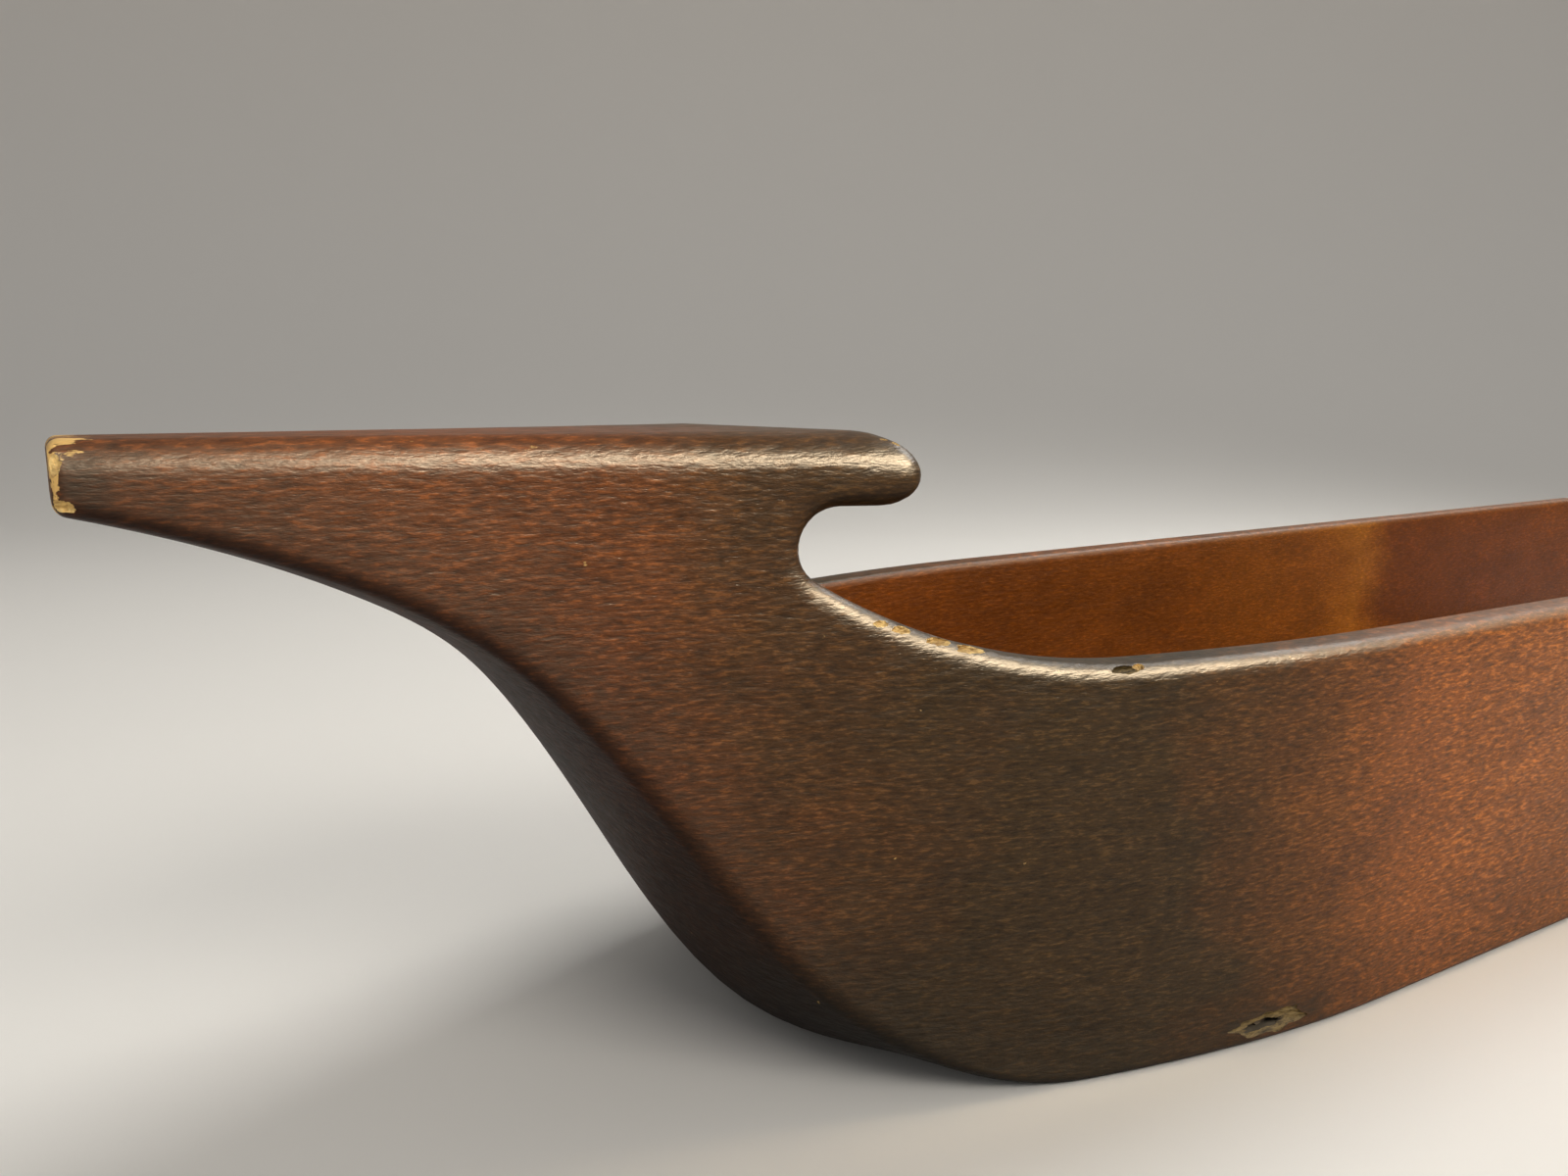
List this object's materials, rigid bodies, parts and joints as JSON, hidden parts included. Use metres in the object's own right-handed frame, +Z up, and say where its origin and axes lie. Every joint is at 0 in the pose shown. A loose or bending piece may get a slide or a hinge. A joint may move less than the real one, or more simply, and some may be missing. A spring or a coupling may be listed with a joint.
{
  "type": "feed scoop",
  "caption": "Long open wooden scoop with flaring sides, a flat base, a rounded stern and a flat-topped handle whose nub overhangs a hanging notch.",
  "frame": {"origin": "on the base plane, midway along the length and on the middle plane", "axes": "+X from the handle's tip to the mouth, +Y to the holder's left, +Z up from the base"},
  "size_m": [0.52, 0.131, 0.0986],
  "materials": {
    "stern_wood": "dark walnut stain under satin lacquer",
    "board_wood": "reddish brown stain under satin lacquer",
    "nail_steel": "dull, darkened",
    "filler": "stained wood filler"
  },
  "bodies": {
    "root": {"stern_block": "stern_wood", "left_side_board": "board_wood", "right_side_board": "board_wood", "bottom_board": "board_wood", "left_bottom_nails": "nail_steel", "right_bottom_nails": "nail_steel", "left_stern_nails": "nail_steel", "right_stern_nails": "nail_steel", "base_nails": "nail_steel", "left_filler_plugs": "filler", "right_filler_plugs": "filler"}
  },
  "joints": []
}
